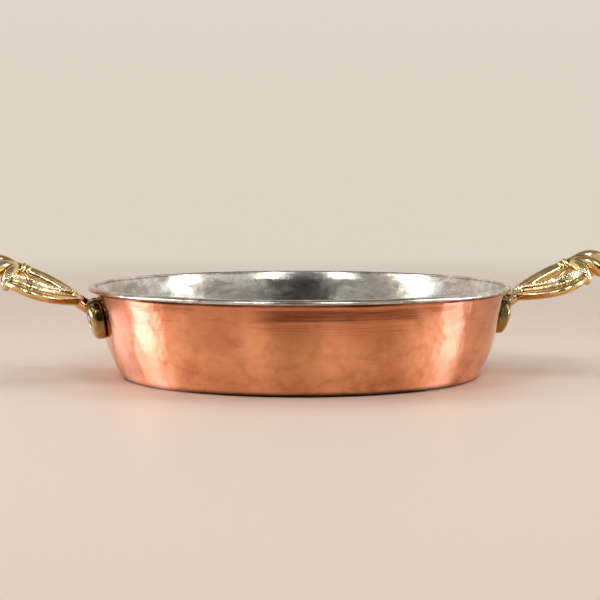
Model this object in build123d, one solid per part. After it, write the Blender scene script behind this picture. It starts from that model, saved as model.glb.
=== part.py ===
from build123d import *
import math
import os

# Two-handled copper egg pan, tinned inside, with cast brass handles on rivets.
# Millimetres. +Z is up, the pan stands on z = 0, its axis is Z, and the handles lie along X.

# Pan bowl
rim_diameter = 200.0      # over the folded rim
pan_height = 43.0         # table to the top of the tinned rim
wall_flare = 15.22        # degrees that the wall leans outwards
copper_sheet = 1.2
tin_coat = 0.2
base_corner_radius = 6.5  # outside, between the base and the wall
rim_fold_height = 2.6     # the sheet is folded outwards and down over this height
rim_fold_width = 1.5      # how far the fold stands proud of the wall
rim_bevel = 0.6           # along the top outer edge of the copper
tin_skirt = 1.8           # how far the tin runs down the outside of the fold

# Rivets
rivet_drop = 15.2         # rivet centres, down from the top of the rim
rivet_spread = 18.0       # between the two rivets of one handle
rivet_shank_diameter = 4.0
rivet_head_diameter = 5.8
rivet_head_height = 1.5
rivet_edge_bevel = 0.6    # the hammered head falls in two bevels, this far in at the first
rivet_crown_bevel = 0.4   # and this far down at the second
rivet_flat_diameter = 2.2
inner_head_diameter = 7.0
inner_head_height = 1.0
inner_head_bevel = 0.5
shank_clearance = 0.05    # all round the shank
seat_clearance = 0.2      # round a rivet head in its seat
head_clearance = 0.02     # between a rivet head and what it clamps

# Handle foot, the plate that the rivets hold
foot_thickness = 7.0      # at its crown
foot_crown_radius = 32.0
foot_crown_rise = 2.0     # the crown lies this far above the rivets
foot_back_radius = 200.0  # the foot's back is flatter than the wall, so its edges stand off
foot_lobe_width = 28.0    # lower lobe
foot_lobe_height = 16.5
foot_lobe_drop = 2.0
foot_wing_radius = 5.5    # upper wings
foot_wing_side = 10.5
foot_wing_rise = 5.0
foot_neck_width = 15.0
foot_neck_rise = 9.5
foot_edge_bevel = 1.0
fit_gap = 0.05            # between the casting and the bowl where they touch
rim_gap = 0.6             # between the neck and the folded rim

# Stem of the handle: out from the rim's edge, up from under its fold, heading, half width, half height
stem_stations = [
    (0.4, -5.9, 38.0, 7.0, 4.2),
    (5.0, -2.7, 36.0, 6.6, 4.1),
    (10.0, 0.9, 31.0, 6.0, 4.0),
    (16.0, 4.1, 26.0, 4.9, 3.4),
    (22.0, 6.6, 24.0, 4.2, 3.1),
    (28.5, 9.2, 23.0, 3.5, 2.8),
    (35.0, 11.6, 18.0, 3.4, 2.8),
]
stem_root_width = 8.0     # half sizes of the stem inside the foot
stem_root_height = 5.2
stem_sides = 16

# Side leaf: out, to the side, up, half length across, half thickness
leaf_stations = [
    (3.5, 1.6, -4.2, 2.6, 2.0),
    (9.0, 7.6, -2.9, 3.4, 2.5),
    (15.0, 14.0, -1.6, 4.0, 2.4),
    (21.5, 18.2, 0.2, 4.3, 2.3),
    (27.3, 18.6, 2.4, 4.0, 2.3),
    (32.4, 15.8, 4.4, 3.5, 2.3),
    (36.8, 11.2, 5.4, 2.5, 2.0),
]
leaf_tilt = 36.0          # the blade leans up towards the stem
# Leaf section, in half lengths and half thicknesses: round outer edge, groove, raised vein, underside
leaf_profile = [
    (-1.0, -0.15),
    (-0.9, 0.6),
    (-0.45, 0.85),
    (0.1, 0.5),
    (0.5, 0.8),
    (0.68, 1.2),
    (0.95, 1.0),
    (1.05, 0.1),
    (0.7, -0.65),
    (0.1, -0.98),
    (-0.7, -0.8),
]

# Thin rib between stem and leaf: out, to the side, up
rib_points = [
    (8.0, 4.6, -0.2),
    (14.5, 8.6, 1.6),
    (20.5, 9.6, 3.8),
    (26.5, 7.2, 6.6),
    (30.5, 2.4, 9.6),
]
rib_radius = 1.2
rib_sides = 8

# Collar on the stem, and the palmette of petals beyond it
collar_out = 29.3
collar_up = 9.5
collar_heading = 23.0
collar_radius = 4.2
collar_length = 3.0
collar_bevel = 0.9
hub_out = 32.0
hub_up = 10.6
# Middle petal: distance from the hub, rise, radius
petal_stations = [
    (0.0, 0.0, 2.4),
    (4.5, 2.3, 3.2),
    (9.5, 3.4, 3.8),
    (14.5, 2.6, 4.0),
    (18.2, 0.5, 3.4),
    (20.7, -1.8, 1.3),
]
petal_sides = 9
# Petals: turn to the side, slope, size against the middle one
petals = [
    (0.0, 0.0, 1.0),
    (32.0, -13.0, 0.92),
    (66.0, -28.0, 0.8),
]

# What follows from them
rim_radius = rim_diameter / 2
flare = math.tan(math.radians(wall_flare))
slant = math.sqrt(1 + flare * flare)
base_radius = rim_radius - rim_fold_width - flare * pan_height
copper_top = pan_height - tin_coat
fold_bottom = pan_height - rim_fold_height
rivet_height = pan_height - rivet_drop


def wall_radius(height, depth=0.0):
    """Radius of the bowl's wall at a height, at a depth below its outer face."""
    return base_radius + flare * height - depth * slant


def rim_edge_radius(height, depth=0.0):
    """Radius of the folded rim's outer face, which lies parallel to the wall."""
    return rim_radius - flare * (pan_height - height) - depth * slant


def copper_section():
    """Half section of the copper bowl, in the XZ plane."""
    outline = [
        (0, 0),
        (wall_radius(0), 0),
        (wall_radius(fold_bottom), fold_bottom),
        (rim_edge_radius(fold_bottom, tin_coat), fold_bottom),
        (rim_edge_radius(copper_top, tin_coat), copper_top),
        (wall_radius(copper_top, copper_sheet), copper_top),
        (wall_radius(copper_sheet, copper_sheet), copper_sheet),
        (0, copper_sheet),
    ]
    rounds = {1: base_corner_radius, 6: base_corner_radius - copper_sheet}
    return eased_section(outline, rounds, {4: rim_bevel})


def tin_section():
    """Half section of the tin coat: it lines the bowl and laps over the rim."""
    skirt = pan_height - tin_skirt
    core = copper_sheet / 2
    outline = [
        (0, copper_sheet + tin_coat),
        (wall_radius(copper_sheet + tin_coat, copper_sheet + tin_coat), copper_sheet + tin_coat),
        (wall_radius(pan_height, copper_sheet + tin_coat), pan_height),
        (rim_edge_radius(pan_height), pan_height),
        (rim_edge_radius(skirt), skirt),
        (rim_edge_radius(skirt, core), skirt),
        (wall_radius(skirt, core), skirt),
        (wall_radius(core, core), core),
        (0, core),
    ]
    rounds = {1: base_corner_radius - copper_sheet - tin_coat, 7: base_corner_radius - core}
    return eased_section(outline, rounds, {3: rim_bevel + tin_coat / 2}) - copper_section()


def eased_section(outline, rounds, bevels):
    """A closed outline in the XZ plane whose numbered corners are rounded or bevelled."""
    face = Plane.XZ * make_face(Polyline(*outline, close=True))
    for index, size in (rounds | bevels).items():
        x, z = outline[index]
        corner = face.vertices().sort_by_distance(Vector(x, 0, z))[0]
        if index in rounds:
            face = Face(face.face().fillet_2d(size, [corner]).wrapped)
        else:
            face = Face(face.face().chamfer_2d(size, size, [corner]).wrapped)
    return face


def seat_plane(side_shift):
    """Plane on the wall at rivet height: its normal points out of the wall, its Y up the wall."""
    turn = math.degrees(side_shift / wall_radius(rivet_height))
    upright = Location((0, 0, 0), (0, 0, turn))
    leaning = Location((wall_radius(rivet_height), 0, rivet_height), (0, 90 + wall_flare, 0))
    wall = Plane(upright * leaning)
    return Plane(origin=wall.origin, x_dir=Vector(0, 0, 1).cross(wall.z_dir), z_dir=wall.z_dir)


def foot_plate():
    """The scalloped plate under the stem, crowned outside, with its front edge bevelled."""
    lobe = Pos(0, -foot_lobe_drop) * Ellipse(foot_lobe_width / 2, foot_lobe_height / 2)
    wings = [Pos(s * foot_wing_side, foot_wing_rise) * Circle(foot_wing_radius) for s in (-1, 1)]
    root = Pos(0, foot_neck_rise / 2) * Rectangle(foot_neck_width, foot_neck_rise)
    outline = lobe + wings + root
    blank = extrude(outline, foot_thickness, both=True)
    crown_centre = foot_thickness - foot_crown_radius
    plate = blank & (Pos(0, foot_crown_rise, crown_centre) * Sphere(foot_crown_radius))
    front = [e for e in plate.edges() if e.geom_type != GeomType.LINE and e.center().Z > 0]
    return seat_plane(0) * chamfer(front, foot_edge_bevel)


def station_plane(out, up, heading):
    """Plane across the stem at a station, given from the rim's outer edge."""
    lean = math.radians(heading)
    return Plane(
        origin=(rim_radius + out, 0, fold_bottom + up),
        x_dir=(0, 1, 0),
        z_dir=(math.cos(lean), 0, math.sin(lean)),
    )


def stem():
    """Neck and stem: one loft from inside the foot to inside the palmette."""
    foot = seat_plane(0)
    root = foot.origin + foot.y_dir * (foot_crown_rise + stem_root_height / 2)
    root_plane = Plane(origin=root, x_dir=(0, 1, 0), z_dir=(1, 0, 0.2))
    sections = [root_plane * stem_section(stem_root_width, stem_root_height)]
    for out, up, heading, half_width, half_height in stem_stations:
        sections.append(station_plane(out, up, heading) * stem_section(half_width, half_height))
    return loft(sections)


def stem_section(half_width, half_height):
    """An oval with many sides, as the file leaves it on the casting pattern."""
    turns = [2 * math.pi * (side + 0.5) / stem_sides for side in range(stem_sides)]
    ring = [(half_width * math.cos(turn), half_height * math.sin(turn)) for turn in turns]
    return make_face(Polyline(*ring, close=True))


def rim_point(out, side, up):
    """A point given from the rim's outer edge and from under its fold."""
    return Vector(rim_radius + out, side, fold_bottom + up)


def side_leaf():
    """The leaf on the +Y side: a grooved and veined blade that ends inside the side petal."""
    points = [rim_point(*station[:3]) for station in leaf_stations]
    spine = Spline(*points)
    lean = math.radians(leaf_tilt)
    sections = []
    for point, station in zip(points, leaf_stations):
        half_length, half_thickness = station[3:]
        along = spine % spine.param_at_point(point)
        inward = along.cross(Vector(0, 0, 1)).normalized()
        upward = inward.cross(along)
        across = inward * math.cos(lean) + upward * math.sin(lean)
        through = upward * math.cos(lean) - inward * math.sin(lean)
        ring = [point + across * (half_length * x) + through * (half_thickness * y) for x, y in leaf_profile]
        sections.append(make_face(Polyline(*ring, close=True)))
    return loft(sections)


def rib():
    """The thin curved rib in the window on the +Y side, with both ends inside the stem."""
    line = Spline(*[rim_point(*point) for point in rib_points])
    start = Plane(origin=line @ 0, z_dir=line % 0)
    return sweep(start * RegularPolygon(rib_radius, rib_sides), line)


def petal(turn, slope, size):
    """A petal that swells, bends over and closes to a blunt tip, laid out from the palmette's hub."""
    line = Spline(*[(reach * size, 0, rise * size) for reach, rise, _ in petal_stations])
    sections = []
    for reach, rise, radius in petal_stations:
        point = Vector(reach * size, 0, rise * size)
        along = line % line.param_at_point(point)
        section = Plane(origin=point, x_dir=(0, 1, 0), z_dir=along)
        sections.append(section * RegularPolygon(radius * size, petal_sides))
    return Pos(*rim_point(hub_out, 0, hub_up)) * Rot(0, 0, turn) * Rot(0, -slope, 0) * loft(sections)


def collar():
    """The bevelled bead round the stem in front of the palmette."""
    bead = Cylinder(collar_radius, collar_length)
    return station_plane(collar_out, collar_up, collar_heading) * chamfer(bead.edges(), collar_bevel)


def bowl_clearance():
    """The bowl's outside grown by the gaps, cut from the casting so that it never enters the bowl."""
    back_shift = foot_back_radius - wall_radius(rivet_height)
    low, high = -5.0, fold_bottom
    outline = [
        (0, low),
        (wall_radius(low) + fit_gap + back_shift, low),
        (wall_radius(high) + fit_gap + back_shift, high),
        (0, high),
    ]
    wall = revolve(Plane.XZ * make_face(Polyline(*outline, close=True)), Axis.Z)
    rim = Cylinder(
        rim_radius + rim_gap,
        rim_fold_height + 2 * rim_gap,
        align=(Align.CENTER, Align.CENTER, Align.MIN),
    )
    return Pos(-back_shift, 0, 0) * wall + Pos(0, 0, fold_bottom - rim_gap) * rim


def rivet_holes():
    """Holes for one handle's rivets, through casting, copper and tin, with seats for the outer heads."""
    cuts = []
    for side in (-1, 1):
        plane = seat_plane(side * rivet_spread / 2)
        hole = Cylinder(rivet_shank_diameter / 2 + shank_clearance, 4 * foot_thickness)
        seat = Pos(0, 0, seat_height()) * Cylinder(
            rivet_head_diameter / 2 + seat_clearance,
            foot_thickness,
            align=(Align.CENTER, Align.CENTER, Align.MIN),
        )
        cuts.append(plane * (hole + seat))
    return cuts


def seat_height():
    """Height of a rivet head's seat above the wall, just below the crown of the foot there."""
    lean = math.hypot(rivet_spread / 2 + rivet_head_diameter / 2, foot_crown_rise)
    drop = foot_crown_radius - math.sqrt(foot_crown_radius**2 - lean**2)
    return foot_thickness - drop


def handle():
    """One brass handle, on the +X side."""
    paired = [side_leaf(), rib()]
    paired += [petal(*size) for size in petals[1:]]
    casting = stem()
    for piece in paired:
        casting += piece
    for piece in paired:
        casting += mirror(piece, about=Plane.XZ)
    casting += petal(*petals[0])
    casting += collar()
    casting += foot_plate()
    casting -= bowl_clearance()
    for cut in rivet_holes():
        casting -= cut
    return casting


def rivet(side):
    """One rivet of the +X handle: domed head outside, shank, flat head inside the bowl."""
    inner = -(copper_sheet + tin_coat + head_clearance + inner_head_sag())
    outer = seat_height() + head_clearance
    shank = rivet_shank_diameter / 2
    flat = inner_head_diameter / 2
    head = rivet_head_diameter / 2
    crown = outer + rivet_head_height
    outline = Polyline(
        (0, crown),
        (0, inner - inner_head_height),
        (flat - inner_head_bevel, inner - inner_head_height),
        (flat, inner - inner_head_height + inner_head_bevel),
        (flat, inner),
        (shank, inner),
        (shank, outer),
        (head, outer),
        (head - rivet_edge_bevel, crown - rivet_crown_bevel),
        (rivet_flat_diameter / 2, crown),
        close=True,
    )
    body = revolve(Plane.XZ * make_face(outline), Axis.Z)
    return seat_plane(side * rivet_spread / 2) * body


def inner_head_sag():
    """How far the inner head's flat face stands off the hollow wall at its middle."""
    bend = wall_radius(rivet_height) - copper_sheet - tin_coat
    return bend - math.sqrt(bend**2 - (inner_head_diameter / 2) ** 2)


def write(shape, node):
    """Writes one node's STEP file and says how many solids it holds."""
    solids = shape.solids()
    print(node, len(solids), "solid(s)", round(sum(s.volume for s in solids)), "mm3")
    export_step(Compound(children=list(solids)) if len(solids) > 1 else solids[0], f"parts/{node}.step")


def main():
    os.makedirs("parts", exist_ok=True)
    half_turn = Rot(0, 0, 180)
    copper = revolve(copper_section(), Axis.Z)
    tin = revolve(tin_section(), Axis.Z)
    for cut in rivet_holes():
        for ends in (cut, half_turn * cut):
            copper -= ends
            tin -= ends
    write(copper, "copper_bowl")
    write(tin, "tin_lining")
    right = handle()
    write(right, "handle_right")
    write(half_turn * right, "handle_left")
    write(rivet(-1), "rivet_right_front")
    write(rivet(1), "rivet_right_back")
    write(half_turn * rivet(1), "rivet_left_front")
    write(half_turn * rivet(-1), "rivet_left_back")


main()
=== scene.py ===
import math

import bmesh
import bpy
from mathutils import Matrix, Vector, noise
from mathutils.kdtree import KDTree


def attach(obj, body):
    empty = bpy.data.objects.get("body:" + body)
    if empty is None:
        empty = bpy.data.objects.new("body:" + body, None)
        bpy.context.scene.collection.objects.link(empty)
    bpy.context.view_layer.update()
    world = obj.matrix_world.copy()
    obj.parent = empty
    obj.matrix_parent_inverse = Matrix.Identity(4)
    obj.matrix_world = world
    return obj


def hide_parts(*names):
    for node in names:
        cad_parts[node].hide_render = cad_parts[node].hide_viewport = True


# Two-handled copper egg pan, tinned inside, with cast brass handles on rivets
# Meshes are shaped in millimetres and brought to metres when they are finished

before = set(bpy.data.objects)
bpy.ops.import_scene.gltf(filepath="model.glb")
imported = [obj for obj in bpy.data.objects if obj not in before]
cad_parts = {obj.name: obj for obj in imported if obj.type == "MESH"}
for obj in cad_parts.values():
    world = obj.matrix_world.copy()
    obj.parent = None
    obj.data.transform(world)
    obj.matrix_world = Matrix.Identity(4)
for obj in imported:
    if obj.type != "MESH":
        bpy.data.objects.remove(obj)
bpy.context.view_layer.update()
mm = 0.001
print("frame loaded:", len(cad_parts), "nodes")


# Shader maths

class Wire:
    # one output of a node: sums and products of wires become Math nodes
    def __init__(self, tree, socket):
        self.tree = tree
        self.socket = socket

    def add(self, kind, settings=None, inputs=None, output=0):
        # any other node: its settings first, then the values or wires of its sockets
        node = self.tree.nodes.new(kind)
        for name, value in (settings or {}).items():
            setattr(node, name, value)
        for name, value in (inputs or {}).items():
            if isinstance(value, Wire):
                self.tree.links.new(value.socket, node.inputs[name])
            else:
                node.inputs[name].default_value = value
        return Wire(self.tree, node.outputs[output])

    def maths(self, operation, first, second=0.0):
        return self.add("ShaderNodeMath", {"operation": operation}, {0: first, 1: second})

    def __add__(self, other):
        return self.maths("ADD", self, other)

    def __radd__(self, other):
        return self.maths("ADD", other, self)

    def __sub__(self, other):
        return self.maths("SUBTRACT", self, other)

    def __rsub__(self, other):
        return self.maths("SUBTRACT", other, self)

    def __mul__(self, other):
        return self.maths("MULTIPLY", self, other)

    def __rmul__(self, other):
        return self.maths("MULTIPLY", other, self)


def step(wire, low, high):
    # 0 below low, 1 above high, smooth between
    return wire.add("ShaderNodeMapRange", {"interpolation_type": "SMOOTHSTEP"},
                    {"Value": wire, "From Min": low, "From Max": high})


def stepUp(wire, sizes):
    # 0 below the first size in millimetres, 1 above the second
    return step(wire, sizes[0] * mm, sizes[1] * mm)


def mixColour(share, first, second):
    # the first colour where share is 0, the second where it is 1
    pair = {0: share}
    for index, colour in ((6, first), (7, second)):
        pair[index] = colour if isinstance(colour, Wire) else (*colour, 1)
    maker = next(w for w in (share, first, second) if isinstance(w, Wire))
    return maker.add("ShaderNodeMix", {"data_type": "RGBA"}, pair, 2)


def stretched(place, sizes):
    # object coordinates in metres, scaled so that a pattern has these sizes in millimetres
    return place.add("ShaderNodeMapping", {"vector_type": "POINT"},
                     {"Vector": place, "Scale": [1 / (s * mm) for s in sizes]})


def cloud(place, size, detail=4.0, roughness=0.55, distortion=0.0):
    # soft noise from 0 to 1 about 0.5; size is one number or three, in millimetres
    sizes = size if isinstance(size, tuple) else (size, size, size)
    return place.add("ShaderNodeTexNoise", None, {
        "Vector": stretched(place, sizes), "Scale": 1.0, "Detail": detail,
        "Roughness": roughness, "Distortion": distortion})


def cells(place, size, feature="SMOOTH_F1"):
    # rounded dents side by side, or with F1 cells with sharp borders; size in millimetres
    inputs = {"Vector": stretched(place, (size, size, size)), "Scale": 1.0}
    if feature == "SMOOTH_F1":
        inputs["Smoothness"] = 0.6
    return place.add("ShaderNodeTexVoronoi", {"feature": feature}, inputs)


def coordinate(place, axis):
    # 0 along the handles, 1 from front to back, 2 up
    return place.add("ShaderNodeSeparateXYZ", None, {0: place}, axis)


def fromAxis(place):
    # distance from the upright axis of the bowl
    flat = place.add("ShaderNodeVectorMath", {"operation": "MULTIPLY"}, {0: place, 1: (1, 1, 0)})
    return place.add("ShaderNodeVectorMath", {"operation": "LENGTH"}, {0: flat}, 1)


def marked(place, name):
    # a number from 0 to 1 that the mesh carries
    return place.add("ShaderNodeAttribute", {"attribute_name": name}, None, 2)


def newMetal(name, makeLook):
    # makeLook gives the Principled inputs by name from the object coordinates
    material = bpy.data.materials.new(name)
    material.use_nodes = True
    tree = material.node_tree
    shader = tree.nodes["Principled BSDF"]
    shader.inputs["Metallic"].default_value = 1.0
    maker = Wire(tree, None)
    place = maker.add("ShaderNodeTexCoord", None, None, 3)
    for socket, value in makeLook(place).items():
        if isinstance(value, Wire):
            tree.links.new(value.socket, shader.inputs[socket])
        else:
            shader.inputs[socket].default_value = value
    return material


def bumpFrom(height, strength, distance):
    # distance in millimetres
    return height.add("ShaderNodeBump", None,
                      {"Height": height, "Strength": strength, "Distance": distance * mm})


# Sizes of the bowl, which the metals read too

bowl = dict(
    rimDiameter=200.0, height=43.0, flare=15.22,      # flare in degrees
    sheet=1.2, tin=0.2,
    foldHeight=2.6, foldWidth=1.5,
    turns=360, longestFace=1.6,
    cornerOut=2.1, cornerIn=2.2, cornerFaces=7,       # rounding between the base and the wall
    lip=dict(across=2.3, above=1.75, below=0.75, steps=(90, 75, 60, 48, 36, 24, 12, 0, -18, -36, -54)),
    warp=(0.13, 34, 30), ripple=(0.09, 13, 15),       # depth, size round the wall and size up the wall
    dent=(0.08, 9, 8),
    # the wall off a straight cone, at even steps from the base to the rim
    belly=[-2.2, -1.15, -0.1, 0.45, 0.5, 0.15, -0.4, -0.8, -1.1, -1.2],
    straightFrom=22, straightOver=8,                  # inside, the belly fades over these heights
    wallFrom=4.2, wallStep=1.6, wallGap=0.8,          # heights of the wall's rows, and the last step
    seam=(0.3, 0.15),                                 # the sheet's end under the tin: out and down
    truer=41, truerOver=5, dentless=8,                # the rim and the base have weaker dents
)
slope = math.tan(math.radians(bowl["flare"]))
slant = math.hypot(1, slope)
wallLine = bowl["rimDiameter"] / 2 - bowl["foldWidth"] - slope * bowl["height"]
foldBottom = bowl["height"] - bowl["foldHeight"]


def upTo(value, low=0.0):
    # the value kept between low and 1
    return min(1.0, max(low, value))


def smoothRow(rows, share):
    # value on a smooth curve through rows of numbers, share from 0 to 1
    place = share * (len(rows) - 1)
    index = min(int(place), len(rows) - 2)
    t = place - index
    before = rows[max(index - 1, 0)]
    after = rows[min(index + 2, len(rows) - 1)]
    result = []
    for a, b, c, d in zip(before, rows[index], rows[index + 1], after):
        slopeIn, slopeOut = (c - a) / 2, (d - b) / 2
        rise = c - b
        result.append(b + slopeIn * t + (3 * rise - 2 * slopeIn - slopeOut) * t * t
                      + (slopeIn + slopeOut - 2 * rise) * t ** 3)
    return result


def belly(height):
    # how far the beaten wall stands off a straight cone, outwards
    rows = [(shift,) for shift in bowl["belly"]]
    return smoothRow(rows, upTo(height / bowl["height"]))[0]


def wallRadius(height, depth=0.0):
    # outer face, or depth under it; inside, the upper wall runs straight to the mouth
    straight = upTo((height - bowl["straightFrom"]) / bowl["straightOver"]) if depth > 0 else 0
    return wallLine + slope * height + belly(height) * (1 - straight) - depth * slant


# Materials

copperLook = dict(
    bright=(0.88, 0.36, 0.185),
    deep=(0.72, 0.245, 0.11),
    brown=(0.25, 0.07, 0.028),
    pale=(0.95, 0.52, 0.34),
    low=(1.0, 0.45, 0.225),                   # painted reflection of the bright floor, paler on the lower wall
    # dark for the pits, and for painted shade under the lip and along the base
    sootAndShade=(0.035, 0.014, 0.006),
    roughness=0.36, brushed=1.0,
    # sizes of the patterns in millimetres
    tone=30, mottle=(15, 15, 10), stain=(17, 17, 11), specks=1.5, pits=6.5, dents=8.5, peel=3.2,
    # heights in millimetres
    floorReflectionHeights=(14, 33), lower=(1, 17), crease=(39.2, 39.9), sootAndShadeEdge=(0.5, 2.8),
    sideways=(35, 78),                        # the soot and painted shade along the base fade towards the handles
    mirrorHeight=27.8, mirrorRound=(20, 30),  # round the middle of a foot
    mirrorRight=13,                           # further on the right
)


def copperSurface(place):
    look = copperLook
    height = coordinate(place, 2)
    tone = cloud(place, look["tone"], 3, 0.5)
    mottle = cloud(place, look["mottle"], 7, 0.62, 0.4)
    stain = cloud(place, look["stain"], 7, 0.60, 0.15)
    specks = cloud(place, look["specks"], 3, 0.6)
    pits = cells(place, look["pits"], "F1")
    lower = 1 - stepUp(height, look["lower"])
    colour = mixColour(step(tone, 0.36, 0.66), look["bright"], look["deep"])
    # painted reflection of the bright floor on the lower wall
    colour = mixColour((1 - stepUp(height, look["floorReflectionHeights"])) * 0.92, colour, look["low"])
    colour = mixColour(step(mottle, 0.44, 0.66) * 0.55, colour, look["deep"])
    colour = mixColour(step(mottle, 0.40, 0.24) * 0.40, colour, look["pale"])
    colour = mixColour(step(stain, 0.47, 0.76) * (0.22 + lower * 0.42), colour, look["brown"])
    speckled = step(specks, 0.60, 0.72) * (0.08 + lower * 0.5) * step(stain, 0.42, 0.6)
    colour = mixColour(speckled, colour, look["brown"])
    colour = mixColour((1 - step(pits + specks * 0.05, 0.045, 0.075)) * 0.55, colour, look["sootAndShade"])
    # burnish marks, with painted dark reflection at the front
    colour = mixColour(burnishAndDarkReflection(place, height), colour, look["brown"])
    # painted shade in the crease under the lip's fold
    crease = stepUp(height, look["crease"]) * (0.45 + 0.5 * step(tone, 0.35, 0.55))
    colour = mixColour(crease, colour, look["sootAndShade"])
    # soot with painted shade along the base where it meets the floor, strongest at the front
    across = coordinate(place, 0)
    front = 1 - stepUp(across.maths("ABSOLUTE", across), look["sideways"]) * 0.75
    edge = 1 - stepUp(height + (stain - 0.5) * 2 * mm, look["sootAndShadeEdge"])
    colour = mixColour(edge * front * 0.95, colour, look["sootAndShade"])
    roughness = look["roughness"] + (tone - 0.5) * 0.10 + step(stain, 0.5, 0.75) * 0.08
    roughness = roughness * (1 - besideFoot(place) * 0.8)
    dents = cells(place, look["dents"])
    fine = cloud(place, (9, 9, 0.35), 2)
    peel = cells(place, look["peel"])
    relief = dents * 1.1 + mottle * 0.75 + peel * 0.42 + fine * 0.03 + specks * 0.015
    return {"Base Color": colour, "Roughness": roughness, "Normal": bumpFrom(relief, 0.6, 0.36),
            "Anisotropic": look["brushed"], "Anisotropic Rotation": 0.25}


def besideFoot(place):
    # 1 round the feet, where the wall was never brushed and mirrors them
    right = step(coordinate(place, 0), -1 * mm, 1 * mm) * copperLook["mirrorRight"] * mm
    spot = place.add("ShaderNodeVectorMath", {"operation": "ABSOLUTE"}, {0: place})
    middle = (wallRadius(copperLook["mirrorHeight"]) * mm, 0, copperLook["mirrorHeight"] * mm)
    away = place.add("ShaderNodeVectorMath", {"operation": "DISTANCE"}, {0: spot, 1: middle}, 1)
    return 1 - stepUp(away - right, copperLook["mirrorRound"])


burnishAndReflectionMarks = dict(
    # heights and lengths in millimetres
    band=(32, 34.5, 37.8, 38.8),              # the band starts and ends between these heights
    thin=(25, 31, 39, 39.6),                  # single lines reach further
    front=(20, 46), depth=(-70, -50),         # the largest patch, at the front, is painted dark reflection
    shift=-5,
)


def burnishAndDarkReflection(place, height):
    # dark burnish patches drawn out in fine lines under the lip; the largest, at the front, is painted dark
    # reflection
    marks = burnishAndReflectionMarks
    across, along = coordinate(place, 0), coordinate(place, 1)
    drift = (cloud(place, (30, 30, 5), 3) - 0.5) * 30 * mm
    side = across.maths("ABSOLUTE", across + drift + marks["shift"] * mm)
    # the front patch is painted dark reflection
    front = (1 - stepUp(side, marks["front"])) * (1 - stepUp(along, marks["depth"]))
    patch = step(cloud(place, (26, 26, 4), 3, 0.6), 0.50, 0.66) * 0.55
    patch = place.maths("MAXIMUM", front, patch)
    ragged = (cloud(place, (30, 30, 1.2), 3) - 0.5) * 5 * mm
    band = stepUp(height + ragged, marks["band"][:2]) * (1 - stepUp(height, marks["band"][2:]))
    lines = step(cloud(place, (30, 30, 0.3), 3, 0.7), 0.36, 0.58)
    thin = step(cloud(place, (44, 44, 0.35), 2, 0.6), 0.50, 0.62) * stepUp(height, marks["thin"][:2])
    thin = thin * (1 - stepUp(height, marks["thin"][2:])) * 0.40
    return place.maths("MAXIMUM", band * patch * (lines * 0.50 + 0.42), thin * step(patch, 0.1, 0.5))


tinLook = dict(
    bright=(0.82, 0.80, 0.765),
    grey=(0.60, 0.58, 0.545),
    dark=(0.23, 0.225, 0.19),
    stain=(0.52, 0.42, 0.33),
    roughness=0.20,
    copper=(0.86, 0.38, 0.20), brown=(0.42, 0.15, 0.065),   # the bare lip
    # sizes of the patterns in millimetres
    patch=(10, 10, 8), smear=(20, 20, 7), cloudy=(16, 16, 11), speck=1.4, dents=6.0,
    # heights and distances in millimetres
    paintedShadeLow=(26, 42), worn=(38, 41), bareFrom=(98.0, 98.3), bareHeight=40.4,
)


def tinSurface(place):
    look = tinLook
    height = coordinate(place, 2)
    patch = cloud(place, look["patch"], 6, 0.66, 0.6)
    smear = cloud(place, look["smear"], 6, 0.66, 0.4)
    speck = cloud(place, look["speck"], 3, 0.65)
    paintedShadeLow = 1 - stepUp(height + (smear - 0.5) * 14 * mm, look["paintedShadeLow"])   # painted shade, darker towards the base
    colour = mixColour(step(patch, 0.40, 0.58), look["bright"], look["grey"])
    colour = mixColour(step(smear, 0.46, 0.62) * 0.75, colour, look["dark"])
    cloudy = cloud(place, look["cloudy"], 4, 0.6)
    colour = mixColour(step(cloudy, 0.48, 0.62) * 0.6, colour, look["stain"])
    # painted shade towards the base
    colour = mixColour(paintedShadeLow * 0.60, colour, look["dark"])
    colour = mixColour(step(speck, 0.56, 0.72) * 0.35, colour, look["dark"])
    bare = mixColour(step(cloud(place, (9, 9, 2.2), 4, 0.6), 0.28, 0.58), look["copper"], look["brown"])
    colour = mixColour(bareLip(place, height), colour, bare)
    worn = stepUp(height, look["worn"])   # the mouth and the lip are rubbed smooth
    uneven = (patch - 0.5) * 0.45 + step(smear, 0.5, 0.8) * 0.12
    roughness = look["roughness"] + uneven * (1 - worn * 0.75)
    relief = cells(place, look["dents"]) * (1 - worn) + patch * (1 - worn * 0.7) * 0.8 + speck * 0.04
    return {"Base Color": colour, "Roughness": roughness, "Normal": bumpFrom(relief, 0.6, 0.22)}


def bareLip(place, height):
    # where the wiped tin has run out on the outside of the lip and copper shows
    across = coordinate(place, 0)
    outer = stepUp(fromAxis(place), tinLook["bareFrom"])
    side = across.maths("ABSOLUTE", across)
    ragged = (cloud(place, (4, 4, 1.2), 5, 0.75) - 0.5) * 2.6 * mm
    higher = stepUp(side, (50, 84)) * 0.9 * mm
    highest = stepUp(side, (86, 96)) * 1.5 * mm   # beside the handles
    edge = tinLook["bareHeight"] * mm + higher + highest
    return outer * step(edge + ragged - height, -0.1 * mm, 0.1 * mm)


brassLook = dict(
    bright=(0.93, 0.72, 0.41),
    deep=(0.78, 0.53, 0.22),
    dark=(0.13, 0.092, 0.027),
    rubbedAndSheen=(0.98, 0.87, 0.64),                # beads and edges rubbed bright, painted paler than brass as a sparkle highlight
    under=(0.70, 0.40, 0.115),                # painted reflection of the orange copper and floor on faces that look down
    roughness=0.17,
    tarnishAndShade=(3.0, 5.4), tarnishAndShadeUp=(21, 29),   # millimetres from the wall, and heights
    # sizes of the patterns in millimetres
    tone=8, pores=0.9, smudges=4.5, punches=1.25, facets=3.6,
)


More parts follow.
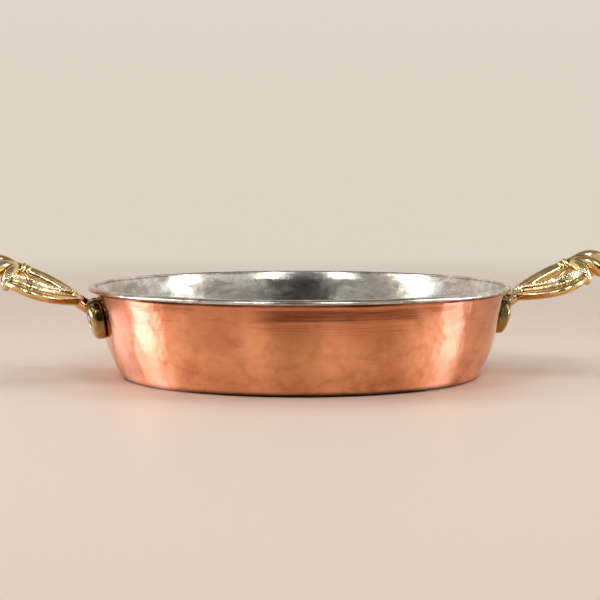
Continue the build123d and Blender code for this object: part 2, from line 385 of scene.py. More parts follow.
def brassSurface(place):
    look = brassLook
    tone = cloud(place, look["tone"], 4, 0.55)
    pores = cloud(place, look["pores"], 3, 0.6)
    smudges = cloud(place, look["smudges"], 4, 0.6)
    hollow, chased = marked(place, "hollow"), marked(place, "chased")
    colour = mixColour(step(tone, 0.35, 0.68), look["bright"], look["deep"])
    colour = mixColour(step(hollow, 0.12, 0.60) * 0.90, colour, look["dark"])
    colour = mixColour(step(smudges, 0.58, 0.72) * 0.30, colour, look["dark"])
    colour = mixColour(step(pores, 0.62, 0.74) * 0.35, colour, look["dark"])
    # rubbed wear with painted sparkle highlight round the beads
    colour = mixColour(chased * (1 - step(hollow, 0.05, 0.35)) * 0.55, colour, look["rubbedAndSheen"])
    # painted reflection on faces that look down
    colour = mixColour(marked(place, "downwards") * 0.85, colour, look["under"])
    # tarnish and painted shade where the foot meets the wall
    colour = mixColour(besideWall(place) * 0.93, colour, look["dark"])
    roughness = look["roughness"] + (tone - 0.5) * 0.1 + step(hollow, 0.1, 0.6) * 0.2
    punched = cells(place, look["punches"], "F1") * chased
    facets = cells(place, look["facets"])
    relief = facets * 1.1 + punched * 0.9 + cloud(place, 3, 3) * 0.7 + pores * 0.12
    return {"Base Color": colour, "Roughness": roughness, "Normal": bumpFrom(relief, 0.8, 0.20)}


def besideWall(place):
    # tarnish and painted shade where the foot meets the copper, darker higher up under the stem
    height = coordinate(place, 2)
    away = fromAxis(place) - height * slope - wallLine * mm
    upper = 0.50 + stepUp(height, brassLook["tarnishAndShadeUp"]) * 0.50
    ragged = (cloud(place, 6, 3) - 0.62) * 7 * mm
    return upper * (1 - stepUp(away + ragged, brassLook["tarnishAndShade"]))


rivetLook = dict(
    bright=(0.42, 0.35, 0.28),
    dark=(0.12, 0.09, 0.07),
    roughness=0.46,
    tone=2.4, dents=1.3,   # sizes of the patterns in millimetres
)


def rivetSurface(place):
    look = rivetLook
    tone = cloud(place, look["tone"], 4, 0.6)
    colour = mixColour(step(tone, 0.4, 0.68), look["bright"], look["dark"])
    roughness = look["roughness"] + (tone - 0.5) * 0.3
    normal = bumpFrom(cells(place, look["dents"]) + tone * 0.4, 0.6, 0.08)
    return {"Base Color": colour, "Roughness": roughness, "Normal": normal}


copperMetal = newMetal("handPolishedCopper", copperSurface)
tinMetal = newMetal("wipedTin", tinSurface)
brassMetal = newMetal("castBrass", brassSurface)
rivetMetal = newMetal("rivetMetal", rivetSurface)
print("metals ready")


# Shared making steps

def finish(mesh, name, metal, node):
    # millimetres to metres, then the piece takes the place of its node
    mesh.transform(Matrix.Scale(mm, 4))
    for face in mesh.polygons:
        face.use_smooth = True
    mesh.materials.clear()
    mesh.materials.append(metal)
    piece = bpy.data.objects.new(name, mesh)
    bpy.context.scene.collection.objects.link(piece)
    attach(piece, "root")
    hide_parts(node)
    print(name, "done:", len(mesh.polygons), "faces")


def toMesh(bm, name):
    bmesh.ops.recalc_face_normals(bm, faces=bm.faces)
    mesh = bpy.data.meshes.new(name)
    bm.to_mesh(mesh)
    bm.free()
    return mesh


def profileFace(bm, outline):
    # a closed outline of (radius, height) standing in the XZ plane
    corners = [bm.verts.new((r, 0, z)) for r, z in outline]
    bm.faces.new(corners)
    return corners


def roundCorner(bm, corner, size, segments):
    bmesh.ops.bevel(bm, geom=[corner], offset=size, segments=segments, profile=0.5,
                    affect="VERTICES", material=-1, offset_type="OFFSET")


def turned(bm, turns):
    # the outline's edges, apart from those on the axis, spun once round it
    onAxis = [e for e in bm.edges if all(abs(v.co.x) < 1e-6 for v in e.verts)]
    bmesh.ops.delete(bm, geom=list(bm.faces), context="FACES_ONLY")
    bmesh.ops.delete(bm, geom=onAxis, context="EDGES")
    bmesh.ops.spin(bm, geom=bm.verts[:] + bm.edges[:], cent=(0, 0, 0), axis=(0, 0, 1),
                   angle=math.tau / 4, steps=turns // 4)
    for share in (4, 2):   # a quarter turn, doubled twice
        copy = bmesh.ops.duplicate(bm, geom=bm.verts[:] + bm.edges[:] + bm.faces[:])["geom"]
        bmesh.ops.rotate(bm, verts=[g for g in copy if isinstance(g, bmesh.types.BMVert)],
                         cent=(0, 0, 0), matrix=Matrix.Rotation(math.tau / share, 3, "Z"))
    bmesh.ops.remove_doubles(bm, verts=bm.verts, dist=1e-4)


def divideLong(bm, longest):
    # long straight runs of the outline get rows for the dents
    for edge in list(bm.edges):
        cuts = int(edge.calc_length() / longest)
        if cuts and not all(abs(v.co.x) < 1e-6 for v in edge.verts):
            bmesh.ops.subdivide_edges(bm, edges=[edge], cuts=cuts)


def handWork(co):
    # how far hand hammering has moved the sheet here, outwards, in millimetres
    def spot(size, shift=0):
        depth, across, upwards = size
        return depth, Vector((co.x / across, co.y / across, co.z / upwards + shift))
    depth, place = spot(bowl["warp"])
    broad = noise.noise(place) * depth
    depth, place = spot(bowl["ripple"], 7)
    middle = noise.noise(place) * depth
    depth, place = spot(bowl["dent"])
    blow = (noise.voronoi(place, distance_metric="DISTANCE")[0][0] - 0.5) * depth
    rim = upTo((bowl["truer"] - co.z) / bowl["truerOver"], 0.25)
    return (broad + (middle + blow) * rim) * upTo(co.z / bowl["dentless"])


def hammer(bm):
    for v in bm.verts:
        radius = math.hypot(v.co.x, v.co.y)
        if radius < 1:
            continue
        move = handWork(v.co)
        v.co.x += v.co.x / radius * move
        v.co.y += v.co.y / radius * move


def lipArc(depth):
    # the folded rim from its crown over to its lower edge, depth under the outer face
    lip = bowl["lip"]
    middle = bowl["rimDiameter"] / 2 - lip["across"]
    points = []
    for degrees in lip["steps"]:
        turn = math.radians(degrees)
        down = lip["above"] if degrees > 0 else lip["below"]
        points.append((middle + (lip["across"] - depth) * math.cos(turn),
                       bowl["height"] - lip["above"] + (down - depth) * math.sin(turn)))
    return points


def wallPoints(top, depth):
    # the wall's curve from above the base corner to its top
    heights = [bowl["wallFrom"] + bowl["wallStep"] * number for number in range(30)]
    heights = [height for height in heights if height < top - bowl["wallGap"]] + [top]
    return [(wallRadius(height, depth), height) for height in heights]


def shellInside(top, sheet):
    # the copper's inner face from its top down to the middle of the base
    out, down = bowl["seam"]
    points = [(wallRadius(top, sheet) + out, top - down)]
    points += wallPoints(top - bowl["wallGap"], sheet)[::-1]
    return points + [(wallRadius(sheet, sheet), sheet), (0, sheet)]


def spinShell(bm, outline):
    # both corners between base and wall are rounded, and the outline becomes a beaten bowl
    corners = profileFace(bm, outline)
    roundCorner(bm, corners[1], bowl["cornerOut"], bowl["cornerFaces"])
    roundCorner(bm, corners[-2], bowl["cornerIn"], bowl["cornerFaces"])
    divideLong(bm, bowl["longestFace"])
    turned(bm, bowl["turns"])
    hammer(bm)


# Copper bowl

def copperBowl():
    sheet, tin = bowl["sheet"], bowl["tin"]
    top = bowl["height"] - tin
    bm = bmesh.new()
    outline = [(0, 0), (wallRadius(0), 0)] + wallPoints(foldBottom, 0)
    outline += lipArc(tin)[::-1] + shellInside(top, sheet)
    spinShell(bm, outline)
    finish(toMesh(bm, "copperBowl"), "copperBowl", copperMetal, "copper_bowl")


# Tin lining

lining = dict(
    # the mouth: below the top, and out from the wall
    mouth=[(4.4, 0.0), (3.0, 0.04), (1.8, 0.13), (0.8, 0.29), (0.2, 0.48)],
)


def tinLining():
    sheet, tin = bowl["sheet"], bowl["tin"]
    inner = sheet + tin
    height = bowl["height"]
    top = height - tin
    bm = bmesh.new()
    mouthFrom = height - lining["mouth"][0][0]
    outline = [(0, inner), (wallRadius(inner, inner), inner)]
    outline += [point for point in wallPoints(top, inner) if point[1] < mouthFrom - bowl["wallGap"]]
    outline += [(wallRadius(height - below, inner) + out, height - below) for below, out in lining["mouth"]]
    outline += lipArc(0) + lipArc(tin)[::-1] + shellInside(top, sheet)
    spinShell(bm, outline)
    finish(toMesh(bm, "tinLining"), "tinLining", tinMetal, "tin_lining")


copperBowl()
tinLining()


# Handles, shaped for the +X side

handle = dict(
    # out from the lip, up from under its fold, heading in degrees, half width, half height
    stem=[(0.4, -7.3, 36, 7.0, 3.2), (5.0, -4.1, 35, 6.6, 3.1), (10.0, -0.4, 33, 6.0, 3.1),
          (16.0, 3.4, 29, 4.9, 2.8), (22.0, 6.3, 25, 4.2, 2.9), (28.5, 9.1, 23, 3.5, 2.8),
          (35.0, 11.6, 18, 3.4, 2.8)],
    stemRoot=(8.0, 5.2), stemRings=25, stemSides=32,
    stemRoots=[(0.4, 0.0, 0.0), (2.6, 0.6, 0.3)],   # inside the foot: out, up, and narrower by
    bar=(6, 0.16, 0.34), barGroove=(0.14, 0.55, 0.16),   # first ring, height, width; depth, place, width
    # out, to the side, up, half length across, half thickness
    leaf=[(3.5, 1.6, -4.2, 2.6, 2.0), (9.0, 7.6, -2.9, 3.4, 2.5), (15.0, 14.0, -1.6, 4.0, 2.4),
          (21.5, 18.2, 0.2, 4.3, 2.3), (27.3, 18.6, 2.4, 4.0, 2.3), (32.4, 15.8, 4.4, 3.5, 2.3),
          (36.8, 11.2, 5.4, 2.5, 2.0)],
    leafTilt=36, leafRings=27, leafSides=44,
    leafSection=[(-1.0, -0.15), (-0.9, 0.6), (-0.45, 0.85), (0.1, 0.5), (0.5, 0.8), (0.68, 1.2),
                 (0.95, 1.0), (1.05, 0.1), (0.7, -0.65), (0.1, -0.98), (-0.7, -0.8)],
    rib=[(8.0, 4.6, -0.2), (14.5, 8.6, 1.6), (20.5, 9.6, 3.8), (26.5, 7.2, 6.6), (30.5, 2.4, 9.6)],
    ribRadius=1.2, ribRings=19, ribSides=14,
    collar=(29.3, 9.5, 23, 4.1), collarLength=1.1,   # out, up, heading, radius
    collars=[(-1.25, 0.93), (1.25, 1.0)],            # shift along the stem, and size
    collarBulge=1.1, collarRings=9, collarSides=32,
    hub=(32.0, 10.6),
    petal=[(0, 0, 2.4), (4.5, 2.3, 3.2), (9.5, 3.4, 3.8), (14.5, 2.6, 4.0), (18.2, 0.5, 3.4),
           (20.7, -1.8, 1.3)],
    petals=[(0, 0, 1.0), (32, -13, 0.92), (66, -28, 0.8)],   # turn, tilt, size
    petalRings=22, petalSides=28, petalFlat=0.96, crease=(0.10, 0.2),
    beads=21, beadRadius=1.05, beadSeat=(0.98, 1.02),   # beadSeat: across and through the leaf
    beadLeast=0.72, beadWidest=4.3,                     # smaller where the leaf is narrower
    voxel=0.31,
    hollow=0.024, hollowPasses=6,      # depth of a full hollow, and how often it is softened
    chased=(2.0, 3.6), chasedLine=(0.55, 0.9),   # reach of the chasing, and its line on the leaf
    underFrom=0.45, underGain=1.3,
)
rivets = dict(
    drop=15.2, rise=0.9, spread=19.4,   # under the rim, over the foot's middle, between the two
    shank=4.0, head=5.8, headHeight=1.4,
    innerHead=7.0, innerHeight=1.0,
    seat=5.25, seatGap=0.2, seatEase=0.7,
    clear=0.1, lift=0.04,               # off the tin inside, and off the seat outside
    # outside, the dome runs through these shares of the head's radius and height
    dome=[(0.93, 0.45), (0.62, 0.86)], rounded=(0.55, 0.35, 0.6),
    turns=48, uneven=0.10,
)
foot = dict(
    lean=9.5, thickness=6.6,
    crown=(66.0, 24.0), crownRise=2.0,
    backRadius=108.0, gap=0.05,         # the back follows the wall
    lobe=(12.0, 8.0), lobeDrop=1.8,
    wing=(7.0, 8.4), wingSide=10.6, wingRise=-0.2,
    neck=(7.5, 9.5),
    backShare=0.95, backSteps=[(0.99, -0.35), (1.0, -0.8)],
    side=2.5, edge=2.1,                 # where the side ends and the rounding starts, under the front
    edgeSteps=[(0.998, 1.0), (0.975, 0.52), (0.935, 0.2), (0.88, 0.04)],
    frontShares=[0.8, 0.62, 0.42, 0.22],
    lipGap=0.5,
)
rivetHeight = bowl["height"] - rivets["drop"]


def wallPlace(shift):
    # frame on the wall at rivet height: Z points out of the wall, Y up it
    turn = shift / wallRadius(rivetHeight)
    lean = math.radians(foot["lean"])
    out = Vector((math.cos(lean) * math.cos(turn), math.cos(lean) * math.sin(turn), -math.sin(lean)))
    side = Vector((0, 0, 1)).cross(out).normalized()
    up = out.cross(side)
    origin = Vector((math.cos(turn), math.sin(turn), 0)) * wallRadius(rivetHeight)
    origin.z = rivetHeight
    return Matrix.Translation(origin) @ Matrix((side, up, out)).transposed().to_4x4()


def rivetPlace(shift):
    return wallPlace(shift) @ Matrix.Translation((0, rivets["rise"], 0))


def rimPoint(out, side, up):
    return Vector((bowl["rimDiameter"] / 2 + out, side, foldBottom + up))


def skin(bm, places, section, sides):
    # rings set along places and bridged; section gives a ring point from its turn and the place's number
    last = None
    for index, place in enumerate(places):
        ring = bmesh.ops.create_circle(bm, cap_ends=False, radius=1, segments=sides)["verts"]
        for number, v in enumerate(ring):
            x, y = section(number / sides, index)
            v.co = place @ Vector((x, y, 0))
        edges = list(dict.fromkeys(e for v in ring for e in v.link_edges))
        if last:
            bmesh.ops.bridge_loops(bm, edges=last + edges)
        else:
            bmesh.ops.edgeloop_fill(bm, edges=edges)
        last = edges
    bmesh.ops.edgeloop_fill(bm, edges=last)


def facing(point, along, across):
    # frame at a point: Z along the form, X as near as can be to across
    along = along.normalized()
    up = along.cross(across).normalized()
    side = up.cross(along)
    return Matrix.Translation(point) @ Matrix((side, up, along)).transposed().to_4x4()


def oval(sizes):
    def section(turn, index):
        return (sizes[index][0] * math.cos(turn * math.tau), sizes[index][1] * math.sin(turn * math.tau))
    return section


def stem(bm):
    width, height = handle["stemRoot"]
    places, sizes = [], []
    for out, up, narrower in handle["stemRoots"]:
        rise = foot["crownRise"] + height / 2 + up
        places.append(wallPlace(0) @ Matrix.Translation((0, rise, out)))
        sizes.append((width - narrower, height - narrower))
    rings = handle["stemRings"]
    for index in range(rings):
        out, up, heading, halfWidth, halfHeight = smoothRow(handle["stem"], index / (rings - 1))
        lean = math.radians(heading)
        along = Vector((math.cos(lean), 0, math.sin(lean)))
        places.append(facing(rimPoint(out, 0, up), along, Vector((0, 1, 0))))
        sizes.append((halfWidth, halfHeight))
    skin(bm, places, stemSection(sizes), handle["stemSides"])


def stemSection(sizes):
    # an oval with a flat bar along its top
    first, barHeight, barWidth = handle["bar"]
    depth, off, grooveWidth = handle["barGroove"]

    def section(turn, index):
        width, height = sizes[index]
        x, y = math.cos(turn * math.tau), math.sin(turn * math.tau)
        if index < first:
            return width * x, height * y
        ridge = barHeight * math.exp(-(x / barWidth) ** 2)
        ridge -= depth * math.exp(-((abs(x) - off) / grooveWidth) ** 2)
        return width * x, height * (y + (ridge if y > 0 else 0))
    return section


def leafPlaces(count):
    places, rows = [], []
    lean = math.radians(handle["leafTilt"])
    for index in range(count):
        share = index / (count - 1)
        row = smoothRow(handle["leaf"], share)
        ahead = smoothRow(handle["leaf"], min(share + 0.01, 1))
        behind = smoothRow(handle["leaf"], max(share - 0.01, 0))
        along = (Vector(ahead[:3]) - Vector(behind[:3])).normalized()
        inward = along.cross(Vector((0, 0, 1))).normalized()
        upward = inward.cross(along)
        across = inward * math.cos(lean) + upward * math.sin(lean)
        through = upward * math.cos(lean) - inward * math.sin(lean)
        frameHere = Matrix((across, through, across.cross(through))).transposed().to_4x4()
        places.append(Matrix.Translation(rimPoint(*row[:3])) @ frameHere)
        rows.append(row)
    return places, rows


def sideLeaf(bm):
    places, rows = leafPlaces(handle["leafRings"])
    closed = handle["leafSection"] + handle["leafSection"][:1]

    def section(turn, index):
        x, y = smoothRow(closed, turn)
        return x * rows[index][3], y * rows[index][4]
    skin(bm, places, section, handle["leafSides"])
    least = handle["beadLeast"]
    beadPlaces, rows = leafPlaces(handle["beads"] + 4)
    for place, row in list(zip(beadPlaces, rows))[2:-2]:
        size = handle["beadRadius"] * (least + (1 - least) * row[3] / handle["beadWidest"])
        spot = place @ Vector((handle["beadSeat"][0] * row[3], handle["beadSeat"][1] * row[4], 0))
        bmesh.ops.create_icosphere(bm, subdivisions=2, radius=size, matrix=Matrix.Translation(spot))


def rib(bm):
    places = []
    for index in range(handle["ribRings"]):
        share = index / (handle["ribRings"] - 1)
        ahead = Vector(smoothRow(handle["rib"], min(share + 0.01, 1)))
        behind = Vector(smoothRow(handle["rib"], max(share - 0.01, 0)))
        places.append(facing(rimPoint(*smoothRow(handle["rib"], share)), ahead - behind, Vector((0, 1, 0))))
    sizes = [(handle["ribRadius"], handle["ribRadius"])] * len(places)
    skin(bm, places, oval(sizes), handle["ribSides"])


def petal(bm, turn, tilt, size):
    hub = Matrix.Translation(rimPoint(handle["hub"][0], 0, handle["hub"][1]))
    hub = hub @ Matrix.Rotation(math.radians(turn), 4, "Z") @ Matrix.Rotation(math.radians(-tilt), 4, "Y")
    rows = [[reach * size, rise * size, radius * size] for reach, rise, radius in handle["petal"]]
    places, radii = [], []
    for index in range(handle["petalRings"]):
        share = index / (handle["petalRings"] - 1)
        reach, rise, radius = smoothRow(rows, share)
        ahead, behind = smoothRow(rows, min(share + 0.01, 1)), smoothRow(rows, max(share - 0.01, 0))
        along = Vector((ahead[0] - behind[0], 0, ahead[1] - behind[1]))
        places.append(hub @ facing(Vector((reach, 0, rise)), along, Vector((0, 1, 0))))
        radii.append(radius)

    def section(ringTurn, index):
        x, y = math.cos(ringTurn * math.tau), math.sin(ringTurn * math.tau)
        depth, width = handle["crease"]
        crease = depth * math.exp(-(x / width) ** 2) if y < 0 else 0
        return radii[index] * x * handle["petalFlat"], radii[index] * (y + crease)
    skin(bm, places, section, handle["petalSides"])


def collar(bm):
    out, up, heading, radius = handle["collar"]
    lean = math.radians(heading)
    along = Vector((math.cos(lean), 0, math.sin(lean)))
    for shift, size in handle["collars"]:
        places, sizes = [], []
        for index in range(handle["collarRings"]):
            share = index / (handle["collarRings"] - 1) * 2 - 1
            centre = rimPoint(out, 0, up) + along * (shift + share * handle["collarLength"])
            places.append(facing(centre, along, Vector((0, 1, 0))))
            bulge = 1 - math.sqrt(max(0.0, 1 - share * share * 0.96))
            girth = size * radius - handle["collarBulge"] * bulge
            sizes.append((girth, girth))
        skin(bm, places, oval(sizes), handle["collarSides"])


def footReach(turn):
    # how far the foot's outline reaches from its middle in a direction
    direction = Vector((math.cos(turn), math.sin(turn)))
    shapes = [(Vector((0, -foot["lobeDrop"])), *foot["lobe"])]
    for side in (-1, 1):
        shapes.append((Vector((side * foot["wingSide"], foot["wingRise"])), *foot["wing"]))
    reach = 0.0
    for centre, width, height in shapes:
        a = (direction.x / width) ** 2 + (direction.y / height) ** 2
        b = direction.x * centre.x / width ** 2 + direction.y * centre.y / height ** 2
        c = (centre.x / width) ** 2 + (centre.y / height) ** 2 - 1
        if b * b - a * c > 0:
            reach = max(reach, (b + math.sqrt(b * b - a * c)) / a)
    halfNeck, neckRise = foot["neck"]
    if direction.y > 0:
        reach = max(reach, min(neckRise / direction.y, halfNeck / max(abs(direction.x), 1e-6)))
    return reach


def footFront(x, y):
    # height of the crowned front over the wall
    across, upwards = foot["crown"]
    return foot["thickness"] - x * x / (2 * across) - (y - foot["crownRise"]) ** 2 / (2 * upwards)


def footPlate(bm):
    place = wallPlace(0)
    ring = bmesh.ops.create_circle(bm, cap_ends=True, radius=1, segments=120)["verts"]
    face = next(f for f in ring[0].link_faces)
    backEdges = list(face.edges)

    def settle(verts, share, below):
        # below counts from the crowned front, or from the back where it is negative
        for v in verts:
            flat = Vector((v.co.x, v.co.y, 0)).normalized()
            reach = footReach(math.atan2(flat.y, flat.x)) * share
            v.co = flat * reach
            back = foot["gap"] - v.co.x ** 2 / (2 * foot["backRadius"])
            v.co.z = back - below if below <= 0 else footFront(v.co.x, v.co.y) - below
    settle(ring, foot["backShare"], 0)
    made = set(ring)
    steps = foot["backSteps"] + [(1.0, foot["side"])]
    steps += [(share, foot["edge"] * fraction) for share, fraction in foot["edgeSteps"]]
    steps += [(share, 0.001) for share in foot["frontShares"]]
    for share, below in steps:
        ret = bmesh.ops.extrude_face_region(bm, geom=[face])
        newVerts = [g for g in ret["geom"] if isinstance(g, bmesh.types.BMVert)]
        settle(newVerts, share, below)
        face = next(g for g in ret["geom"] if isinstance(g, bmesh.types.BMFace))
        made.update(newVerts)
    for v in made:
        v.co = place @ v.co
    bmesh.ops.edgeloop_fill(bm, edges=backEdges)


def seatRivets(mesh):
    # the casting is pressed down round each rivet head, and kept off the bowl
    places = [rivetPlace(side * rivets["spread"] / 2) for side in (-1, 1)]
    inverses = [place.inverted() for place in places]
    wall = wallPlace(0)
    wallInverse = wall.inverted()
    reach = rivets["head"] / 2 + rivets["seatGap"] + rivets["seatEase"]
    limit = bowl["rimDiameter"] / 2 + foot["lipGap"]
    for v in mesh.vertices:
        for place, inverse in zip(places, inverses):
            local = inverse @ v.co
            far = math.hypot(local.x, local.y)
            if far < reach and rivets["seat"] < local.z < 12:
                ease = upTo((reach - far) / rivets["seatEase"])
                local.z += (rivets["seat"] - local.z) * ease
                v.co = place @ local
        local = wallInverse @ v.co
        back = foot["gap"] - local.x ** 2 / (2 * foot["backRadius"])
        if local.z < back and v.co.z < foldBottom:
            local.z = back
            v.co = wall @ local
        radius = math.hypot(v.co.x, v.co.y)
        if v.co.z > foldBottom - 0.5 and radius < limit:
            v.co.x *= limit / radius
            v.co.y *= limit / radius


def markHollows(mesh):
    # attribute from 0 to 1 where the surface is hollow and polish doesn't reach
    bm = bmesh.new()
    bm.from_mesh(mesh)
    bm.verts.ensure_lookup_table()
    depth = []
    for v in bm.verts:
        ring = [e.other_vert(v).co for e in v.link_edges]
        middle = sum(ring, Vector()) / len(ring)
        depth.append((middle - v.co).dot(v.normal))
    for _ in range(handle["hollowPasses"]):
        depth = [0.4 * depth[v.index] + 0.6 * sum(depth[e.other_vert(v).index] for e in v.link_edges)
                 / len(v.link_edges) for v in bm.verts]
    bm.free()
    attribute = mesh.attributes.new("hollow", "FLOAT", "POINT")
    attribute.data.foreach_set("value", [upTo(d / handle["hollow"]) for d in depth])


def markUnderside(mesh):
    # attribute from 0 to 1 on faces that look down, softened
    mesh.attributes.new("downwards", "FLOAT", "POINT").data.foreach_set(
        "value", [upTo(handle["underFrom"] - v.normal.z * handle["underGain"]) for v in mesh.vertices])


def markChased(mesh):
    # attribute from 0 to 1 round the beaded edges, where the leaf's face is punched
    places, rows = leafPlaces(60)
    across, through = handle["chasedLine"]
    line = KDTree(len(places) * 2)
    for index, (place, row) in enumerate(zip(places, rows)):
        spot = place @ Vector((across * row[3], through * row[4], 0))
        line.insert(spot, index * 2)
        line.insert((spot.x, -spot.y, spot.z), index * 2 + 1)
    line.balance()
    near = [line.find(v.co)[2] for v in mesh.vertices]
    full, none = handle["chased"]
    attribute = mesh.attributes.new("chased", "FLOAT", "POINT")
    attribute.data.foreach_set("value", [upTo((none - d) / (none - full)) for d in near])


def brassCasting():
    bm = bmesh.new()
    half = bmesh.new()
    sideLeaf(half)
    rib(half)
    for side in handle["petals"][1:]:
        petal(half, *side)
    mirrored = half.copy()
    bmesh.ops.scale(mirrored, vec=(1, -1, 1), verts=mirrored.verts)
    bmesh.ops.reverse_faces(mirrored, faces=mirrored.faces)
    for part in (half, mirrored):
        bmesh.ops.recalc_face_normals(part, faces=part.faces)
        held = bpy.data.meshes.new("casting part")
        part.to_mesh(held)
        bm.from_mesh(held)
        part.free()
        bpy.data.meshes.remove(held)
    stem(bm)
    petal(bm, *handle["petals"][0])
    collar(bm)
    footPlate(bm)
    mesh = toMesh(bm, "rough casting")
    rough = bpy.data.objects.new("rough casting", mesh)
    bpy.context.scene.collection.objects.link(rough)
    fuse = rough.modifiers.new("fuse", "REMESH")
    fuse.mode = "VOXEL"
    fuse.voxel_size = handle["voxel"]
    ease = rough.modifiers.new("ease", "SMOOTH")
    ease.factor = 0.5
    ease.iterations = 2
    graph = bpy.context.evaluated_depsgraph_get()
    cast = bpy.data.meshes.new_from_object(rough.evaluated_get(graph))
    bpy.data.objects.remove(rough)
    seatRivets(cast)
    markHollows(cast)
    markChased(cast)
    markUnderside(cast)
    return cast


rightCasting = brassCasting()
leftCasting = rightCasting.copy()
leftCasting.transform(Matrix.Rotation(math.pi, 4, "Z"))
finish(rightCasting, "handleRight", brassMetal, "handle_right")
finish(leftCasting, "handleLeft", brassMetal, "handle_left")


# Rivets

def rivet(name, node, shift, turn):
    # domed head outside, shank, and a flat head inside the bowl
    low = -(bowl["sheet"] + bowl["tin"] + rivets["clear"])
    seat = rivets["seat"] + rivets["lift"]
    head, shank, flat = rivets["head"] / 2, rivets["shank"] / 2, rivets["innerHead"] / 2
    bm = bmesh.new()
    outline = [(0, low - rivets["innerHeight"]), (flat, low - rivets["innerHeight"]), (flat, low),
               (shank, low), (shank, seat), (head, seat)]
    outline += [(head * wide, seat + rivets["headHeight"] * high) for wide, high in rivets["dome"]]
    outline += [(0, seat + rivets["headHeight"])]
    corners = profileFace(bm, outline)
    for number, size, segments in zip((1, 6, 7), rivets["rounded"], (4, 3, 3)):
        roundCorner(bm, corners[number], size, segments)
    turned(bm, rivets["turns"])
    for v in bm.verts:
        if v.co.z > seat:
            v.co.z += rivets["uneven"] * noise.noise(Vector((v.co.x * 0.9, v.co.y * 0.9, shift + turn)))
    mesh = toMesh(bm, name)
    mesh.transform(Matrix.Rotation(turn, 4, "Z") @ rivetPlace(shift))
    finish(mesh, name, rivetMetal, node)


offMiddle = rivets["spread"] / 2
rivet("rivetRightFront", "rivet_right_front", -offMiddle, 0)
rivet("rivetRightBack", "rivet_right_back", offMiddle, 0)
rivet("rivetLeftFront", "rivet_left_front", offMiddle, math.pi)
rivet("rivetLeftBack", "rivet_left_back", -offMiddle, math.pi)


# Stage, lamps and camera

stage = dict(
    floor=(0.75, 0.635, 0.55), horizon=(0.735, 0.65, 0.56), backdrop=(0.775, 0.695, 0.61),
    roughness=0.5, fade=(0.22, 1.1), glowUp=(0.0, 1.2),
    width=6.0, near=-2.5, bend=0.85, far=2.6, high=2.6,
)
camera = dict(distance=0.8, turn=8.0, height=0.0994, pitch=4.59, lens=101.1, sensor=36)
lamps = [
    # name, azimuth from the camera, elevation, distance, width, height, power, colour, what it lights
    ("windowLeft", -83, 34, 1.0, 0.38, 0.55, 2.3, (1.0, 0.965, 0.93), "both"),
    ("windowRight", 82, 34, 1.0, 0.32, 0.55, 2.0, (1.0, 0.965, 0.93), "both"),
    ("overhead", 180, 76, 1.1, 1.2, 1.0, 6.2, (1.0, 0.97, 0.94), "floor"),
    ("softboxLeft", -30, 50, 1.1, 0.17, 0.36, 2.0, (1.0, 0.98, 0.95), "both"),
    ("softboxRight", 23, 50, 1.1, 0.19, 0.36, 2.2, (1.0, 0.98, 0.95), "both"),
    ("stripLeft", -94, 4.5, 1.0, 0.34, 0.18, 3.6, (0.78, 0.91, 1.36), "metal"),
    ("stripRight", 91, 4.5, 1.0, 0.28, 0.18, 2.3, (0.78, 0.91, 1.36), "metal"),
    ("stripBehind", -121, 4.5, 1.0, 0.38, 0.18, 1.3, (0.78, 0.91, 1.36), "metal"),
]
# how the room looks in the polished metal: pale paper behind, grey in front, dark by the camera
room = dict(
    dim=(0.14, 0.134, 0.127),
    paper=(0.84, 0.765, 0.68), paperFrom=(-0.15, 0.25),
    grey=(0.60, 0.57, 0.53),
    shade=(0.06, 0.058, 0.052), shadeWidth=(0.24, 0.46),
    ceiling=(0.25, 0.237, 0.215), ceilingFrom=(0.60, 0.80),
)


def seenByEye(maker):
    # 1 for camera, glossy and transmission rays
    rays = [maker.add("ShaderNodeLightPath", None, None, number) for number in (0, 3, 6)]
    return maker.maths("MINIMUM", rays[0] + rays[1] + rays[2], 1.0)


def paleFloor():
    # a plain floor near the pan that turns into an even pale background further off
    material = bpy.data.materials.new("paleFloor")
    material.use_nodes = True
    tree = material.node_tree
    shader = tree.nodes["Principled BSDF"]
    shader.inputs["Base Color"].default_value = (*stage["floor"], 1)
    shader.inputs["Roughness"].default_value = stage["roughness"]
    maker = Wire(tree, None)
    place = maker.add("ShaderNodeTexCoord", None, None, 3)
    shown = step(fromAxis(place), *stage["fade"]) * seenByEye(maker)
    glow = mixColour(step(coordinate(place, 2), *stage["glowUp"]), stage["horizon"], stage["backdrop"])
    light = maker.add("ShaderNodeEmission", None, {"Color": glow, "Strength": 1.0})
    surface = maker.add("ShaderNodeMixShader", None, {0: shown, 1: Wire(tree, shader.outputs[0]), 2: light})
    tree.links.new(surface.socket, tree.nodes["Material Output"].inputs["Surface"])
    return material


def sweptFloor():
    # floor that bends up into the backdrop, with no line between them
    bm = bmesh.new()
    side = stage["width"] / 2
    line = [bm.verts.new((-side, y, z)) for y, z in (
        (stage["near"], 0), (stage["far"], 0), (stage["far"], stage["high"]))]
    edges = [bm.edges.new(pair) for pair in zip(line, line[1:])]
    bmesh.ops.bevel(bm, geom=[line[1]], offset=stage["bend"], segments=24, profile=0.5,
                    affect="VERTICES", material=-1)
    ret = bmesh.ops.extrude_edge_only(bm, edges=list(bm.edges))
    bmesh.ops.translate(bm, vec=(stage["width"], 0, 0),
                        verts=[g for g in ret["geom"] if isinstance(g, bmesh.types.BMVert)])
    mesh = toMesh(bm, "floor")
    for face in mesh.polygons:
        face.use_smooth = True
    mesh.materials.append(paleFloor())
    floor = bpy.data.objects.new("floor", mesh)
    bpy.context.scene.collection.objects.link(floor)


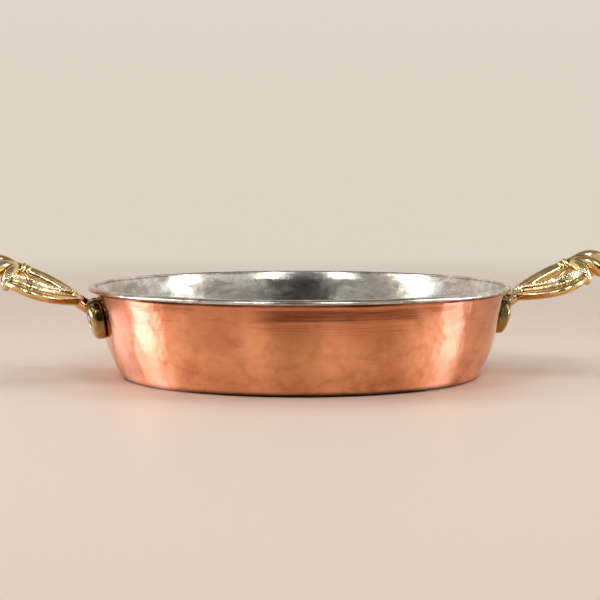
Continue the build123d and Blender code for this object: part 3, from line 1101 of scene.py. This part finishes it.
def aimLamp(name, azimuth, elevation, distance, width, height, power, colour, lights):
    lamp = bpy.data.lights.new(name, "AREA")
    lamp.shape = "RECTANGLE"
    lamp.size, lamp.size_y = width, height
    lamp.energy, lamp.color = power, colour
    piece = bpy.data.objects.new(name, lamp)
    bpy.context.scene.collection.objects.link(piece)
    around, up = math.radians(azimuth - camera["turn"]), math.radians(elevation)
    place = Vector((math.sin(around) * math.cos(up), -math.cos(around) * math.cos(up), math.sin(up)))
    piece.location = place * distance
    piece.rotation_euler = place.to_track_quat("Z", "Y").to_euler()
    piece.visible_camera = False
    piece.visible_diffuse = lights != "metal"
    piece.visible_glossy = lights != "floor"


def lightWorld():
    world = bpy.data.worlds.new("studio")
    world.use_nodes = True
    tree = world.node_tree
    maker = Wire(tree, None)
    way = maker.add("ShaderNodeTexCoord", None, None, 0)
    turn = math.radians(camera["turn"])

    def towards(direction):
        return way.add("ShaderNodeVectorMath", {"operation": "DOT_PRODUCT"}, {0: way, 1: direction}, 1)
    behind = step(towards((math.sin(turn), math.cos(turn), 0)), *room["paperFrom"])
    aside = towards((math.cos(turn), -math.sin(turn), 0))
    middle = 1 - step(aside.maths("ABSOLUTE", aside), *room["shadeWidth"])
    colour = mixColour(middle, room["grey"], room["shade"])
    colour = mixColour(behind, colour, room["paper"])
    colour = mixColour(step(towards((0, 0, 1)), *room["ceilingFrom"]), colour, room["ceiling"])
    colour = mixColour(seenByEye(maker), room["dim"], colour)
    tree.links.new(colour.socket, tree.nodes["Background"].inputs["Color"])
    bpy.context.scene.world = world


def placeCamera():
    lens = bpy.data.cameras.new("camera")
    lens.lens, lens.sensor_width = camera["lens"], camera["sensor"]
    piece = bpy.data.objects.new("camera", lens)
    bpy.context.scene.collection.objects.link(piece)
    turn = math.radians(camera["turn"])
    away = camera["distance"]
    piece.location = (-away * math.sin(turn), -away * math.cos(turn), camera["height"])
    piece.rotation_euler = (math.radians(90 - camera["pitch"]), 0, -turn)
    bpy.context.scene.camera = piece


sweptFloor()
for lamp in lamps:
    aimLamp(*lamp)
lightWorld()
placeCamera()
bpy.context.scene.view_settings.view_transform = "Standard"
print("stage ready")
